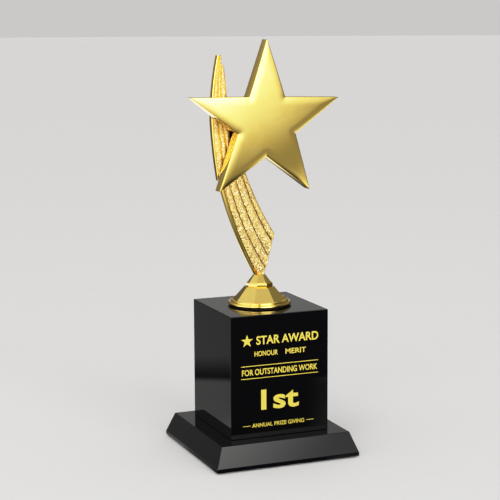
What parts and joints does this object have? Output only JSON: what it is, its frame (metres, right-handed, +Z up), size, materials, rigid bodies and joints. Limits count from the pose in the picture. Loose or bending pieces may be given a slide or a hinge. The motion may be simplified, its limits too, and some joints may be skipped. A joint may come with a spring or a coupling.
{
  "type": "star trophy",
  "caption": "Gilt five-pointed star on a two-part striped ribbon, with a faceted foot on a black crystal column and bevelled plinth.",
  "frame": {"origin": "middle of the underside of the felt pad, on the surface the trophy stands on, under the middle of the column and of the foot", "axes": "+Z up, the printed front face of the column and the star's face toward -Y, the ribbon's side toward -X"},
  "size_m": [0.1193, 0.1168, 0.3178],
  "materials": {
    "felt": "black pressed wool felt",
    "black_crystal": "opaque black crystal glass, mirror polished",
    "zinc_steel": "bright zinc plated",
    "fibre": "vulcanised fibre, dull",
    "black_rubber": "dull",
    "polished_gold": "gold plated, mirror polished",
    "frosted_gold": "gold plated, sand blasted stripes between polished grooves"
  },
  "bodies": {
    "root": {"felt_pad": "felt", "plinth": "black_crystal", "column": "black_crystal", "tie_rod": "zinc_steel", "rod_nut": "zinc_steel", "rod_washer": "zinc_steel", "fibre_washer": "fibre", "foot_gasket": "black_rubber", "foot_ring": "polished_gold", "foot_bell": "polished_gold", "foot_collar": "polished_gold", "ribbon_socket": "polished_gold", "tang_pin": "zinc_steel", "lower_ribbon": "frosted_gold", "upper_ribbon": "frosted_gold", "star_bracket": "polished_gold", "star_shell": "polished_gold", "star_back_plate": "polished_gold", "lower_star_spacer": "polished_gold", "upper_star_spacer": "polished_gold", "lower_star_screw": "zinc_steel", "upper_star_screw": "zinc_steel", "lower_ribbon_screw_1": "zinc_steel", "lower_ribbon_screw_2": "zinc_steel", "upper_ribbon_screw_1": "zinc_steel", "upper_ribbon_screw_2": "zinc_steel"}
  },
  "joints": []
}
